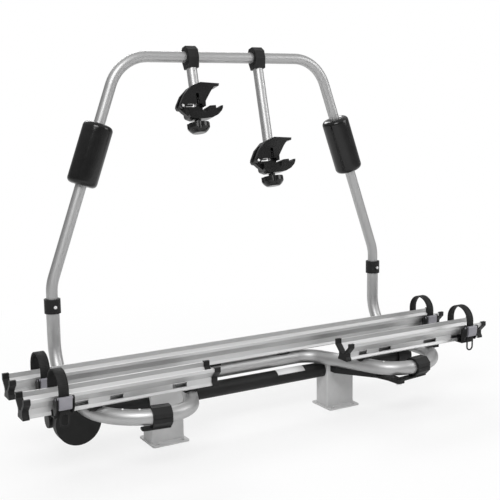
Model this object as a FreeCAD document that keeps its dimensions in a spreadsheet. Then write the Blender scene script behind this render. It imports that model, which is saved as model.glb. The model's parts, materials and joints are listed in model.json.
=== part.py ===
"""Caravan bike carrier, in millimetres, +X along the wheel rails to the right, +Y to the back.

Two folded brackets bolt to the drawbar and hold a fixed hinge bar. A bent frame tube with two
loops rides on saddles that tilt about that bar. It carries the wheel rails in front and the
upright bow behind, whose legs telescope into the frame tube. Two arms with claws hang from the
bow's top, and four straps slide along the rails.
"""
import FreeCAD, Part
import Sketcher
import math
import os
from FreeCAD import Placement, Rotation, Vector

RIGHT = 1
LEFT = -1
ROOT_TWO = math.sqrt(2)
ALONG_X = Vector(1, 0, 0)
ALONG_Y = Vector(0, 1, 0)
ALONG_Z = Vector(0, 0, 1)

DRIVING = (
    ("hinge_y", 39.6, "hinge bar axis, from the origin to the back"),
    ("hinge_z", 105.0, "hinge bar axis above the drawbar"),
    ("bar_dia", 40.0, "hinge bar, outside"),
    ("bar_wall", 3.0, "hinge bar, wall"),
    ("bar_left", 553.0, "hinge bar, reach to the left of the middle"),
    ("bar_right", 512.0, "hinge bar, reach to the right of the middle"),
    ("plug_deep", 12.0, "bar end plugs, depth inside the bar"),
    ("plug_rim", 2.5, "bar end plugs, thickness of the rim outside"),
    ("bracket_apart", 520.0, "middle to middle of the two brackets"),
    ("post_wide", 88.0, "bracket post across its front"),
    ("post_deep", 50.0, "bracket post, front to back"),
    ("post_tall", 131.0, "bracket post, top above the drawbar"),
    ("sheet", 4.0, "thickness of the folded bracket steel"),
    ("foot_wide", 98.0, "bracket foot plate across"),
    ("foot_deep", 90.0, "bracket foot plate, front to back"),
    ("foot_forward", 2.0, "foot plate middle in front of the post's middle"),
    ("foot_corner", 6.0, "corner radius of the foot plate"),
    ("bolt_dia", 11.0, "clearance holes for M10 bolts in the foot plate"),
    ("bolts_across", 66.0, "foot plate holes, spacing across"),
    ("bolts_deep", 68.0, "foot plate holes, spacing front to back"),
    ("fit_clear", 0.05, "radial running clearance of shafts in their holes"),
    ("gap_clear", 0.3, "clearance between faces that move past each other"),
    ("tube_dia", 36.0, "frame tube between the saddles, outside"),
    ("leg_dia", 32.0, "legs of the frame tube, outside"),
    ("tube_mid_y", 20.0, "frame tube's middle run behind the hinge bar"),
    ("loop_root_x", 185.0, "where the middle run turns forward into a loop"),
    ("loop_front_x", 291.0, "inner corner of a loop's front run"),
    ("loop_front_y", 231.0, "inner front corner in front of the hinge bar"),
    ("loop_side_x", 488.0, "outer run of a loop, and the legs, from the middle"),
    ("loop_side_y", 205.0, "outer front corner in front of the hinge bar"),
    ("root_bend", 65.0, "centre-line bend radius at the loop's root"),
    ("inner_bend", 84.0, "centre-line bend radius at the inner front corner"),
    ("outer_bend", 140.0, "centre-line bend radius at the outer front corner"),
    ("leg_bend", 113.0, "centre-line bend radius up into the leg"),
    ("leg_y", 130.0, "legs and bow behind the hinge bar"),
    ("leg_top", 352.0, "top end of the legs"),
    ("saddle_wall", 6.0, "saddle wall round the hinge bar"),
    ("saddle_wide", 44.0, "outer saddles along the bar"),
    ("seat_x", 104.0, "back rail's inner seats from the middle"),
    ("seat_long", 30.0, "pads under the rails, along the rail"),
    ("seat_in", 3.0, "pads under the rails, inside the beam's sides"),
    ("seat_grip", 5.0, "pads under the rails, reach down round the tube"),
    ("rail_z", 168.5, "underside of the wheel rails"),
    ("rail_pad", 5.0, "pads between frame tube and rails"),
    ("rail_pitch", 157.0, "middle of the near rail in front of the back rail"),
    ("rail_wide", 60.0, "wheel rail over both lips"),
    ("rail_tall", 47.0, "wheel rail, underside to the top of the back lip"),
    ("front_drop", 3.0, "front lip lower than the back lip"),
    ("rail_wall", 1.8, "wheel rail, wall"),
    ("floor_wide", 11.0, "flat floor of the wheel channel"),
    ("floor_up", 15.0, "channel floor above the rail's underside"),
    ("lip_wide", 3.5, "thickened lip along each edge"),
    ("beam_wide", 26.0, "hollow beam under the channel, outside"),
    ("foot_lip", 4.0, "flange along the beam's underside, beyond its side"),
    ("foot_edge", 2.0, "edge of that flange"),
    ("foot_rise", 7.0, "where the flange meets the beam's side"),
    ("back_reach", 640.0, "back rail with caps, from the middle"),
    ("near_outer", 654.0, "near rails with caps, outer end from the middle"),
    ("near_inner", 186.0, "near rails with caps, inner end from the middle"),
    ("cap_long", 15.0, "rail end caps along the rail"),
    ("cap_wall", 2.0, "rail end caps, wall round the rail"),
    ("cap_plate", 3.0, "rail end caps, end plate"),
    ("slot_tall", 11.0, "slots in the near rails' front"),
    ("slot_up", 13.5, "slots in the near rails' front, middle above the underside"),
    ("bow_dia", 28.0, "bow tube, outside"),
    ("bow_wall", 2.0, "bow tube, wall"),
    ("bow_end", 268.0, "lower ends of the bow inside the legs"),
    ("knee_z", 395.0, "where the bow's legs start to lean inward"),
    ("bow_top", 943.0, "middle of the bow's top run"),
    ("bow_half", 291.0, "where the leaning legs meet the top run"),
    ("knee_bend", 110.0, "centre-line bend radius at the knees"),
    ("crown_bend", 105.0, "centre-line bend radius at the top corners"),
    ("pad_dia", 75.0, "pads on the bow"),
    ("pad_high", 776.0, "upper end of the pads"),
    ("pad_low", 629.0, "lower end of the pads"),
    ("pad_round", 14.0, "rounding of the pads' ends"),
    ("collar_dia", 40.0, "clamp collars on the legs"),
    ("collar_low", 326.0, "underside of the collars"),
    ("collar_high", 361.0, "top of the collars"),
    ("collar_screw_dia", 8.0, "screw heads in front of the collars"),
    ("collar_screw_out", 4.0, "screw heads' reach in front of the collars"),
    ("clamp_x", 366.0, "loop clamps from the middle"),
    ("clamp_long", 44.0, "loop clamps along the tube"),
    ("clamp_wall", 5.0, "loop clamps, wall round the tube"),
    ("clamp_split", 1.0, "gap between the halves of a loop clamp"),
    ("strip_thick", 4.0, "strips under the loop clamps"),
    ("strip_wide", 22.0, "strips under the loop clamps, front to back"),
    ("strip_round", 5.0, "corner rounding of the strips and the catch lever"),
    ("left_strip_over", 23.0, "left strip beyond its clamp, away from the middle"),
    ("right_strip_over", 60.0, "right strip beyond its clamp, toward the middle"),
    ("lever_bolt_in", 12.0, "catch lever's bolt from the right strip's end"),
    ("lever_plate", 6.0, "catch lever, thickness of its plate"),
    ("lever_flange", 6.5, "catch lever, flange above its plate"),
    ("lever_bolt_dia", 8.0, "catch lever's bolt, shank"),
    ("lever_head_dia", 14.0, "catch lever's bolt, head"),
    ("lever_head", 4.0, "catch lever's bolt, depth of its head"),
    ("cover_dia", 110.0, "round cover in front of the left saddle"),
    ("cover_deep", 26.0, "round cover, front to back"),
    ("cover_wall", 2.5, "round cover, wall"),
    ("cover_front", 50.0, "cover's face in front of the hinge bar"),
    ("cover_x", 495.0, "round cover's middle from the middle of the carrier"),
    ("cover_z", 103.0, "round cover's middle above the drawbar"),
    ("cover_boss", 16.0, "boss on the saddle that carries the cover"),
    ("arm_x", 98.0, "bike arms from the middle"),
    ("arm_lean", 14.0, "bike arms' forward lean, degrees"),
    ("arm_dia", 27.0, "bike arms, outside"),
    ("arm_wall", 2.0, "bike arms, wall"),
    ("clasp_wide", 29.0, "arm clasps along the bow's top"),
    ("clasp_up", 27.0, "arm clasps above the bow tube's middle"),
    ("clasp_down", 30.0, "arm clasps below the bow tube's middle"),
    ("clasp_half", 21.0, "arm clasps, half their depth"),
    ("liner_wall", 2.0, "liners between the bow tube and the arm clasps"),
    ("long_drop", 147.0, "long arm's claw below the short arm's"),
    ("jaw_thick", 34.0, "claws along their hinge pins"),
    ("jaw_slot", 14.0, "slot between the cheeks of the upper jaw"),
    ("jaw_pin_dia", 7.0, "hinge pins of the claws"),
    ("jaw_pin_across", 45.6, "hinge pins of the claws from the arm's middle"),
    ("jaw_pin_down", 129.0, "hinge pins of the claws from the bow, less the arm's drop"),
    ("spindle_across", 2.0, "screw spindles from the arm's middle"),
    ("spindle_dia", 8.0, "screw spindles of the claws"),
    ("claw_knob_dia", 58.0, "knobs under the claws"),
    ("claw_knob_dome", 3.0, "knobs' dome, radius over the knob's own"),
    ("claw_grip_dia", 20.0, "shallow grips round the knobs"),
    ("claw_grip_out", 7.0, "middles of the grips beyond the knob's radius"),
    ("strap_wide", 23.0, "straps along the rail"),
    ("strap_thick", 3.0, "straps, thickness"),
    ("strap_top", 265.0, "top of the strap loops"),
    ("strap_tail", 144.0, "lower ends of the strap tails"),
    ("strap_arch", 40.0, "straps, outer radius of the arch"),
    ("strap_shift", 4.0, "straps, arch in front of the rail's middle"),
    ("tail_slot_wide", 8.0, "slots in the strap tails, along the rail"),
    ("tail_slot_long", 30.0, "slots in the strap tails, upward"),
    ("tail_slot_up", 6.0, "slots above the tails' lower ends"),
    ("shoe_long", 42.0, "strap shoes along the rail"),
    ("shoe_wall", 3.0, "strap shoes, wall"),
    ("shoe_front", 34.0, "strap shoes, front face from the rail's middle"),
    ("shoe_front_up", 36.0, "strap shoes, front plate above the rail's underside"),
    ("shoe_back", 32.7, "strap shoes, back face from the rail's middle"),
    ("shoe_back_up", 40.0, "strap shoes, back plate above the rail's underside"),
    ("buckle_pin_y", 47.6, "buckle pins in front of the rail's middle"),
    ("buckle_pin_z", 42.0, "buckle pins above the rail's underside"),
    ("buckle_pin_dia", 6.0, "buckle pins"),
    ("buckle_wide", 29.0, "buckle levers along the rail"),
    ("buckle_long", 25.0, "buckle levers below their pins"),
    ("back_left_inset", 80.0, "back rail's left strap from the rail's end"),
    ("back_right_inset", 60.0, "back rail's right strap from the rail's end"),
    ("near_left_inset", 84.0, "near rail's left strap from the rail's end"),
    ("near_right_inset", 69.0, "near rail's right strap from the rail's end"),
)


class Size:
    """A number together with the sheet formula that gives it."""

    def __init__(self, value, formula):
        self.value = value
        self.formula = formula

    def __float__(self):
        return float(self.value)

    def __neg__(self):
        return Size(-self.value, "(-1 * %s)" % self.formula)

    def __add__(self, other):
        return combine(self, other, "+", self.value + sized(other).value)

    def __sub__(self, other):
        return combine(self, other, "-", self.value - sized(other).value)

    def __mul__(self, other):
        return combine(self, other, "*", self.value * sized(other).value)

    def __truediv__(self, other):
        return combine(self, other, "/", self.value / sized(other).value)

    def __radd__(self, other):
        return sized(other) + self

    def __rsub__(self, other):
        return sized(other) - self

    def __rmul__(self, other):
        return sized(other) * self


def sized(number):
    """A plain number as a Size."""
    if isinstance(number, Size):
        return number
    return Size(float(number), "(%.9f)" % number)


def combine(first, second, sign, value):
    return Size(value, "(%s %s %s)" % (sized(first).formula, sign, sized(second).formula))


class Sizes:
    """The driving sizes by name."""


doc = FreeCAD.newDocument("bike_carrier")
sheet = doc.addObject("Spreadsheet::Sheet", "Dim")
d = Sizes()
for row, (name, number, meaning) in enumerate(DRIVING, start=1):
    sheet.set("A%d" % row, meaning)
    sheet.set("B%d" % row, str(number))
    sheet.setAlias("B%d" % row, name)
    setattr(d, name, Size(number, "Dim." + name))
doc.recompute()

nodes = []


def tie(thing, path, size):
    """Bind one property of an object to the sheet."""
    thing.setExpression(path, sized(size).formula)


def put(thing, x=0, y=0, z=0, axis=ALONG_Z, angle=0):
    """Place an object, with its place bound to the sheet."""
    spot = Vector(float(x), float(y), float(z))
    thing.Placement = Placement(spot, Rotation(axis, float(angle)))
    tie(thing, "Placement.Base.x", x)
    tie(thing, "Placement.Base.y", y)
    tie(thing, "Placement.Base.z", z)
    if isinstance(angle, Size):
        tie(thing, "Placement.Rotation.Angle", angle)
    return thing


def keep(thing, label):
    """Name a finished piece, or group of like pieces, as a node."""
    thing.Label = label
    nodes.append(thing)
    return thing


def corner_point(plane, start, u, v):
    """The place of a sketch point in its body."""
    if plane == "XY_Plane":
        return Vector(u, v, start)
    if plane == "XZ_Plane":
        return Vector(u, -start, v)
    return Vector(start, u, v)


def draw(body, plane, start, outlines, circles=()):
    """Sketch closed outlines of straight lines, and circles given as (u, v, radius)."""
    sketch = body.newObject("Sketcher::SketchObject", "outline")
    flat = [face for face in body.Origin.OriginFeatures if face.Role == plane][0]
    sketch.AttachmentSupport = [(flat, "")]
    sketch.MapMode = "FlatFace"
    sketch.AttachmentOffset = Placement(Vector(0, 0, float(start)), Rotation())
    tie(sketch, "AttachmentOffset.Base.z", start)
    for points in outlines:
        first = sketch.GeometryCount
        count = len(points)
        spots = [Vector(float(u), float(v), 0) for u, v in points]
        for here in range(count):
            sketch.addGeometry(Part.LineSegment(spots[here], spots[(here + 1) % count]))
        for here in range(count):
            ahead = first + (here + 1) % count
            sketch.addConstraint(Sketcher.Constraint("Coincident", first + here, 2, ahead, 1))
        for here, (u, v) in enumerate(points):
            pin(sketch, first + here, 1, u, v)
    for u, v, radius in circles:
        ring = Part.Circle(Vector(float(u), float(v), 0), Vector(0, 0, 1), float(radius))
        index = sketch.addGeometry(ring)
        pin(sketch, index, 3, u, v)
        limit = sketch.addConstraint(Sketcher.Constraint("Radius", index, float(radius)))
        tie(sketch, "Constraints[%d]" % limit, radius)
    return sketch


def pin(sketch, index, point, u, v):
    """Fix a sketch point at a place bound to the sheet."""
    for way, size in (("DistanceX", u), ("DistanceY", v)):
        number = sketch.addConstraint(
            Sketcher.Constraint(way, -1, 1, index, point, float(size)))
        tie(sketch, "Constraints[%d]" % number, size)


def extrude(outline, length, plane="XY_Plane", start=0, inner=(), circles=(), rounds=()):
    """A body padded from an outline; rounds holds (corner numbers, radius) pairs."""
    body = doc.addObject("PartDesign::Body", "body")
    sketch = draw(body, plane, start, (outline,) + tuple(inner), circles)
    pad = body.newObject("PartDesign::Pad", "pad")
    pad.Profile = sketch
    pad.Length = float(length)
    tie(pad, "Length", length)
    for corners, radius in rounds:
        doc.recompute()
        places = [corner_point(plane, float(start), float(outline[k][0]), float(outline[k][1]))
                  for k in corners]
        soften(body, body.Tip, places, radius)
    return body


def soften(body, base, places, radius):
    """Round the edges of a body that start or end at the given corners and run along its pad."""
    along = base.Shape.Edges
    names = []
    for number, edge in enumerate(along, start=1):
        ends = [vertex.Point for vertex in edge.Vertexes]
        if len(ends) < 2:
            continue
        for place in places:
            near = [end for end in ends if end.distanceToPoint(place) < 0.001]
            if near and is_pad_edge(base, ends):
                names.append("Edge%d" % number)
    fillet = body.newObject("PartDesign::Fillet", "rounding")
    fillet.Base = (base, names)
    fillet.Radius = float(radius)
    tie(fillet, "Radius", radius)


def is_pad_edge(base, ends):
    """True for an edge along the extrusion, from its normal."""
    run = ends[1].sub(ends[0])
    body = base.getParentGeoFeatureGroup()
    sketch = [thing for thing in body.Group if thing.TypeId == "Sketcher::SketchObject"][0]
    normal = sketch.Placement.Rotation.multVec(ALONG_Z)
    return abs(abs(run.normalize().dot(normal)) - 1) < 0.001


def cylinder(radius, height, x=0, y=0, z=0, axis=ALONG_Z, angle=0):
    rod = doc.addObject("Part::Cylinder", "rod")
    rod.Radius = float(radius)
    rod.Height = float(height)
    tie(rod, "Radius", radius)
    tie(rod, "Height", height)
    return put(rod, x, y, z, axis, angle)


def rod_x(radius, length, x, y, z):
    """A cylinder from (x, y, z) along +X."""
    return cylinder(radius, length, x, y, z, ALONG_Y, 90)


def rod_y(radius, length, x, y, z):
    """A cylinder from (x, y, z) along +Y."""
    return cylinder(radius, length, x, y, z, ALONG_X, -90)


def block(length, width, height, x, y, z):
    """A box from its lowest corner."""
    box = doc.addObject("Part::Box", "box")
    box.Length = float(length)
    box.Width = float(width)
    box.Height = float(height)
    tie(box, "Length", length)
    tie(box, "Width", width)
    tie(box, "Height", height)
    return put(box, x, y, z)


def cut(base, *tools):
    """Take each tool away from the base."""
    for tool in tools:
        result = doc.addObject("Part::Cut", "cut")
        result.Base = base
        result.Tool = tool
        base = result
    return base


def fuse(*shapes):
    result = doc.addObject("Part::MultiFuse", "fused")
    result.Shapes = list(shapes)
    result.Refine = True
    return result


def group(*shapes):
    """Like pieces that share one node, each still its own solid."""
    result = doc.addObject("Part::Compound", "group")
    result.Links = list(shapes)
    return result


def bent_path(points, radii):
    """Straight runs joined by tangent arcs, one radius for each inner point."""
    edges = []
    here = points[0]
    for before, corner, after, radius in zip(points, points[1:], points[2:], radii):
        back = before.sub(corner).normalize()
        ahead = after.sub(corner).normalize()
        half = back.getAngle(ahead) / 2
        start = corner.add(back * (radius / math.tan(half)))
        end = corner.add(ahead * (radius / math.tan(half)))
        inward = back.add(ahead).normalize()
        middle = corner.add(inward * (radius / math.sin(half) - radius))
        edges.append(Part.makeLine(here, start))
        edges.append(Part.Arc(start, middle, end).toShape())
        here = end
    edges.append(Part.makeLine(here, points[-1]))
    return Part.Wire(edges)


def swept(points, radii, radius):
    """A round bar along a bent path."""
    path = bent_path(points, radii)
    circle = Part.Wire(Part.makeCircle(radius, points[0], points[1].sub(points[0])))
    return path.makePipeShell([circle], True, False)


def bent_tube(points, radii, outside, inside):
    tube = doc.addObject("Part::Feature", "tube")
    tube.Shape = swept(points, radii, outside).cut(swept(points, radii, inside))
    return tube


# Places that several pieces share
tube_z = d.rail_z - d.rail_pad - d.tube_dia / 2
mid_y = d.hinge_y + d.tube_mid_y
leg_y = d.hinge_y + d.leg_y
front_inner_y = d.hinge_y - d.loop_front_y
front_outer_y = d.hinge_y - d.loop_side_y
back_rail_y = mid_y
near_rail_y = mid_y - d.rail_pitch
leg_bore = d.bow_dia / 2 + d.fit_clear
strip_z = tube_z - d.tube_dia / 2 - d.clamp_wall - d.strip_thick


def frame_points():
    """Corners of the frame tube's centre line, from the left leg's top to the right's."""
    right = (
        Vector(float(d.loop_root_x), float(mid_y), float(tube_z)),
        Vector(float(d.loop_front_x), float(front_inner_y), float(tube_z)),
        Vector(float(d.loop_side_x), float(front_outer_y), float(tube_z)),
        Vector(float(d.loop_side_x), float(leg_y), float(tube_z)),
        Vector(float(d.loop_side_x), float(leg_y), float(d.leg_top)),
    )
    left = [Vector(-point.x, point.y, point.z) for point in reversed(right)]
    return left + list(right)


def frame_radii():
    right = [float(d.root_bend), float(d.inner_bend), float(d.outer_bend), float(d.leg_bend)]
    return list(reversed(right)) + right


def loop_points():
    """The middle of the centre line, where the tube is thicker, up to under the back rail."""
    points = frame_points()
    end_y = float(back_rail_y) - 10
    left_end = Vector(points[1].x, end_y, points[1].z)
    right_end = Vector(points[-2].x, end_y, points[-2].z)
    return [left_end] + points[2:-2] + [right_end]


def frame_solid():
    """The frame tube filled in: the legs' bar, and the thicker bar between the saddles."""
    legs = swept(frame_points(), frame_radii(), float(d.leg_dia) / 2)
    return legs.fuse(swept(loop_points(), frame_radii()[1:-1], float(d.tube_dia) / 2))


def frame_core():
    """The frame tube filled in, to cut the seats of what grips it."""
    core = doc.addObject("Part::Feature", "frame_core")
    core.Shape = frame_solid()
    return core


def bracket(side, label):
    """Foot plate with four bolt holes and a post folded to a channel, open at the back."""
    foot_y = d.hinge_y - d.foot_forward
    across = d.foot_wide / 2
    deep = d.foot_deep / 2
    holes = [(i * d.bolts_across / 2, j * d.bolts_deep / 2, d.bolt_dia / 2)
             for i in (-1, 1) for j in (-1, 1)]
    foot = extrude(((-across, -deep), (across, -deep), (across, deep), (-across, deep)),
                   d.sheet, circles=holes, rounds=(((0, 1, 2, 3), d.foot_corner),))
    put(foot, side * d.bracket_apart / 2, foot_y, 0)
    half = d.post_wide / 2
    back = d.post_deep / 2
    post = extrude(((-half, -back), (half, -back), (half, back), (half - d.sheet, back),
                    (half - d.sheet, d.sheet - back), (d.sheet - half, d.sheet - back),
                    (d.sheet - half, back), (-half, back)),
                   d.post_tall - d.sheet, rounds=(((0, 1), d.sheet),))
    put(post, side * d.bracket_apart / 2, d.hinge_y, d.sheet)
    hole = rod_x(d.bar_dia / 2, d.post_wide * 2, side * d.bracket_apart / 2 - d.post_wide,
                 d.hinge_y, d.hinge_z)
    keep(cut(fuse(foot, post), hole), label)


def hinge_bar():
    """Round steel tube through both posts, with a plug in each end."""
    long = d.bar_left + d.bar_right
    outer = rod_x(d.bar_dia / 2, long, -d.bar_left, d.hinge_y, d.hinge_z)
    inner = rod_x(d.bar_dia / 2 - d.bar_wall, long, -d.bar_left, d.hinge_y, d.hinge_z)
    keep(cut(outer, inner), "hinge_bar")
    plugs = []
    for side, end in ((LEFT, -d.bar_left), (RIGHT, d.bar_right)):
        stem_from = end if side == LEFT else end - d.plug_deep
        rim_from = end - d.plug_rim if side == LEFT else end
        stem = rod_x(d.bar_dia / 2 - d.bar_wall, d.plug_deep, stem_from, d.hinge_y, d.hinge_z)
        rim = rod_x(d.bar_dia / 2 - 1, d.plug_rim, rim_from, d.hinge_y, d.hinge_z)
        plugs.append(fuse(stem, rim))
    keep(group(*plugs), "bar_end_plugs")


def frame_tube():
    tube = doc.addObject("Part::Feature", "tube")
    tube.Shape = frame_solid().cut(swept(frame_points(), frame_radii(), float(leg_bore)))
    keep(tube, "frame_tube")


def saddles():
    """Bearings on the hinge bar that the frame tube sits in."""
    bore = d.bar_dia / 2 + d.fit_clear
    shell = d.bar_dia / 2 + d.saddle_wall
    for side, label in ((LEFT, "left_saddle"), (RIGHT, "right_saddle")):
        start = side * d.loop_side_x - d.saddle_wide / 2
        ring = rod_x(shell, d.saddle_wide, start, d.hinge_y, d.hinge_z)
        seat = block(d.saddle_wide, d.bar_dia, tube_z - d.hinge_z, start,
                     d.hinge_y - d.bar_dia / 2, d.hinge_z)
        bar_hole = rod_x(bore, d.saddle_wide + 2, start - 1, d.hinge_y, d.hinge_z)
        pieces = [ring, seat]
        if side == LEFT:
            inside = d.cover_front - d.cover_wall
            boss_end = d.bar_dia / 2 + d.saddle_wall / 4
            pieces.append(rod_y(d.cover_boss / 2, inside - boss_end, -d.cover_x,
                                d.hinge_y - inside, d.cover_z))
        body = cut(fuse(*pieces), bar_hole, frame_core())
        keep(body, label)


def hinge_cover():
    """Round moulded cover in front of the left saddle, open at the back and round the tube."""
    face_y = d.hinge_y - d.cover_front
    shell = rod_y(d.cover_dia / 2, d.cover_deep, -d.cover_x, face_y, d.cover_z)
    hollow = rod_y(d.cover_dia / 2 - d.cover_wall, d.cover_deep, -d.cover_x,
                   face_y + d.cover_wall, d.cover_z)
    keep(cut(shell, hollow, frame_core()), "hinge_cover")


def rail_outline():
    """Outer outline of a wheel rail's section, from its underside, front side negative."""
    floor = d.floor_wide / 2
    mouth = d.rail_wide / 2
    throat = mouth - d.lip_wide
    beam = d.beam_wide / 2
    wall = d.rail_wall
    slant = wall * ROOT_TWO
    rise = throat - floor
    shoulder = d.floor_up + beam - floor - slant
    lip_root = d.floor_up + rise + d.lip_wide - slant
    foot = beam + d.foot_lip
    front_top = d.rail_tall - d.front_drop
    return (
        (-foot, 0), (foot, 0), (foot, d.foot_edge), (beam, d.foot_rise), (beam, shoulder),
        (mouth, lip_root), (mouth, d.rail_tall), (throat, d.rail_tall),
        (throat, d.floor_up + rise), (floor, d.floor_up), (-floor, d.floor_up),
        (-throat, d.floor_up + rise), (-throat, front_top), (-mouth, front_top),
        (-mouth, lip_root), (-beam, shoulder), (-beam, d.foot_rise), (-foot, d.foot_edge),
    )


def rail_hollow():
    """The closed hollow inside the beam."""
    floor = d.floor_wide / 2
    side = d.beam_wide / 2 - d.rail_wall
    slant = d.rail_wall * ROOT_TWO
    under = d.floor_up - d.rail_wall
    bend = floor + slant - d.rail_wall
    shoulder = under + side - bend
    return ((-side, d.rail_wall), (side, d.rail_wall), (side, shoulder), (bend, under),
            (-bend, under), (-side, shoulder))


def rail(label, start, end, middle_y, slots=()):
    """Extruded wheel rail between its end plates, with slots through both sides of the beam."""
    body = extrude(rail_outline(), end - start, "YZ_Plane", 0, inner=(rail_hollow(),))
    put(body, start, middle_y, d.rail_z)
    depth = d.rail_wall + 2
    tools = [block(far - near, depth, d.slot_tall, near, face - depth / 2,
                   d.rail_z + d.slot_up - d.slot_tall / 2)
             for near, far in slots
             for face in (middle_y - (d.beam_wide - d.rail_wall) / 2,
                          middle_y + (d.beam_wide - d.rail_wall) / 2)]
    keep(cut(body, *tools), label)


def cap_outline():
    """Outline of an end cap, which follows the rail a wall's width outside."""
    wall = d.cap_wall
    floor = (d.floor_wide - wall) / 2
    mouth = d.rail_wide / 2 + wall
    beam = d.beam_wide / 2 + wall
    foot = beam + d.foot_lip
    inner = d.rail_wide / 2 - d.lip_wide - wall
    slope = d.floor_up - d.floor_wide / 2 - 2.5 * d.rail_wall - wall
    low = d.floor_up + wall
    top = d.rail_tall + wall
    return ((-foot, -wall), (foot, -wall), (foot, d.foot_edge + wall / 2), (beam, d.foot_rise + wall),
            (beam, slope + beam), (mouth, slope + mouth), (mouth, top), (inner, top),
            (inner, low + inner - floor), (floor, low), (-floor, low),
            (-inner, low + inner - floor), (-inner, top - d.front_drop),
            (-mouth, top - d.front_drop), (-mouth, slope + mouth), (-beam, slope + beam),
            (-beam, d.foot_rise + wall), (-foot, d.foot_edge + wall / 2))


def cap(end, side, middle_y):
    """Sleeve with an end plate, pushed over a rail's end; side is the way the end faces."""
    start = end - d.cap_long if side == RIGHT else end
    shell = extrude(cap_outline(), d.cap_long, "YZ_Plane")
    put(shell, start, middle_y, d.rail_z)
    inside = start if side == RIGHT else end + d.cap_plate
    core = extrude(rail_outline(), d.cap_long - d.cap_plate, "YZ_Plane")
    put(core, inside, middle_y, d.rail_z)
    return cut(shell, core)


def rails():
    plate = d.cap_plate
    rail("back_rail", -d.back_reach + plate, d.back_reach - plate, back_rail_y)
    left_slots = ((-538, -506), (-455, -424), (-302, -266))
    right_slots = ((229, 255), (294, 334), (445, 489), (543, 594))
    rail("near_rail_left", -d.near_outer + plate, -d.near_inner - plate, near_rail_y,
         [(sized(a), sized(b)) for a, b in left_slots])
    rail("near_rail_right", d.near_inner + plate, d.near_outer - plate, near_rail_y,
         [(sized(a), sized(b)) for a, b in right_slots])
    keep(cap(-d.back_reach, LEFT, back_rail_y), "back_rail_left_cap")
    keep(cap(d.back_reach, RIGHT, back_rail_y), "back_rail_right_cap")
    keep(cap(-d.near_outer, LEFT, near_rail_y), "near_left_outer_cap")
    keep(cap(-d.near_inner, RIGHT, near_rail_y), "near_left_inner_cap")
    keep(cap(d.near_inner, LEFT, near_rail_y), "near_right_inner_cap")
    keep(cap(d.near_outer, RIGHT, near_rail_y), "near_right_outer_cap")


def loop_leg_x(depth):
    """Where the slanting run of a loop passes the given depth, from the middle."""
    share = (mid_y - depth) / (mid_y - front_inner_y)
    return d.loop_root_x + (d.loop_front_x - d.loop_root_x) * share


def rail_seats():
    """Pads that lie on the frame tube under the rails."""
    spots = []
    for side in (LEFT, RIGHT):
        spots.append((side * loop_leg_x(near_rail_y), near_rail_y))
        spots.append((side * d.loop_side_x, near_rail_y))
        spots.append((side * d.seat_x, back_rail_y))
        spots.append((side * d.loop_side_x, back_rail_y - 8))
    pads = []
    for x, y in spots:
        deep = d.beam_wide - 2 * d.seat_in
        tall = d.rail_pad + d.seat_grip
        plate = block(d.seat_long, deep, tall, x - d.seat_long / 2, y - deep / 2,
                      d.rail_z - tall)
        pads.append(cut(plate, frame_core()))
    keep(group(*pads), "rail_seats")


def collars():
    """Clamp rings that hold the bow in the legs."""
    for side, label in ((LEFT, "left_collar"), (RIGHT, "right_collar")):
        x = side * d.loop_side_x
        ring = cylinder(d.collar_dia / 2, d.collar_high - d.collar_low, x, leg_y, d.collar_low)
        lower = cylinder(d.leg_dia / 2, d.leg_top - d.collar_low, x, leg_y, d.collar_low)
        upper = cylinder(leg_bore, d.collar_high - d.collar_low, x, leg_y, d.collar_low)
        keep(cut(ring, lower, upper), label)
    screws = []
    for side in (LEFT, RIGHT):
        x = side * d.loop_side_x
        head = rod_y(d.collar_screw_dia / 2, d.collar_screw_out + 1, x,
                     leg_y - d.collar_dia / 2 - d.collar_screw_out,
                     (d.collar_low + d.collar_high) / 2)
        filled = cylinder(d.collar_dia / 2, 2 * (d.collar_high - d.collar_low), x, leg_y,
                          d.collar_low - 10)
        screws.append(cut(head, filled))
    keep(group(*screws), "collar_screws")


def bow_points():
    right = (
        Vector(float(d.bow_half), float(leg_y), float(d.bow_top)),
        Vector(float(d.loop_side_x), float(leg_y), float(d.knee_z)),
        Vector(float(d.loop_side_x), float(leg_y), float(d.bow_end)),
    )
    left = [Vector(-point.x, point.y, point.z) for point in reversed(right)]
    return left + list(right)


def bow():
    radii = [float(d.knee_bend), float(d.crown_bend), float(d.crown_bend), float(d.knee_bend)]
    outside = float(d.bow_dia) / 2
    keep(bent_tube(bow_points(), radii, outside, outside - float(d.bow_wall)), "bow_tube")


def leaning_x(height):
    """Where the bow's leaning leg is at a height, from the middle."""
    share = (height - d.knee_z) / (d.bow_top - d.knee_z)
    return d.loop_side_x - (d.loop_side_x - d.bow_half) * share


def bow_pads():
    """Round foam sleeves on the leaning legs."""
    for side, label in ((LEFT, "left_bow_pad"), (RIGHT, "right_bow_pad")):
        low = Vector(side * float(leaning_x(d.pad_low)), float(leg_y), float(d.pad_low))
        high = Vector(side * float(leaning_x(d.pad_high)), float(leg_y), float(d.pad_high))
        run = high.sub(low)
        radius = float(d.pad_dia) / 2
        sleeve = Part.makeCylinder(radius, run.Length, low, run)
        ends = [edge for edge in sleeve.Edges if edge.isClosed() and edge.Length > 1
                and len(edge.Vertexes) == 1]
        sleeve = sleeve.makeFillet(float(d.pad_round), ends)
        bore = Part.makeCylinder(float(d.bow_dia) / 2, run.Length * 2,
                                 low.sub(run * 0.5), run)
        piece = doc.addObject("Part::Feature", "pad")
        piece.Shape = sleeve.cut(bore)
        keep(piece, label)


def clamp_place(side):
    """Middle of a loop clamp on the front run, and the run's turn from X in degrees."""
    rise = (front_outer_y - front_inner_y) / (d.loop_side_x - d.loop_front_x)
    y = front_inner_y + (d.clamp_x - d.loop_front_x) * rise
    return side * d.clamp_x, y, side * math.degrees(math.atan(float(rise)))


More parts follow.
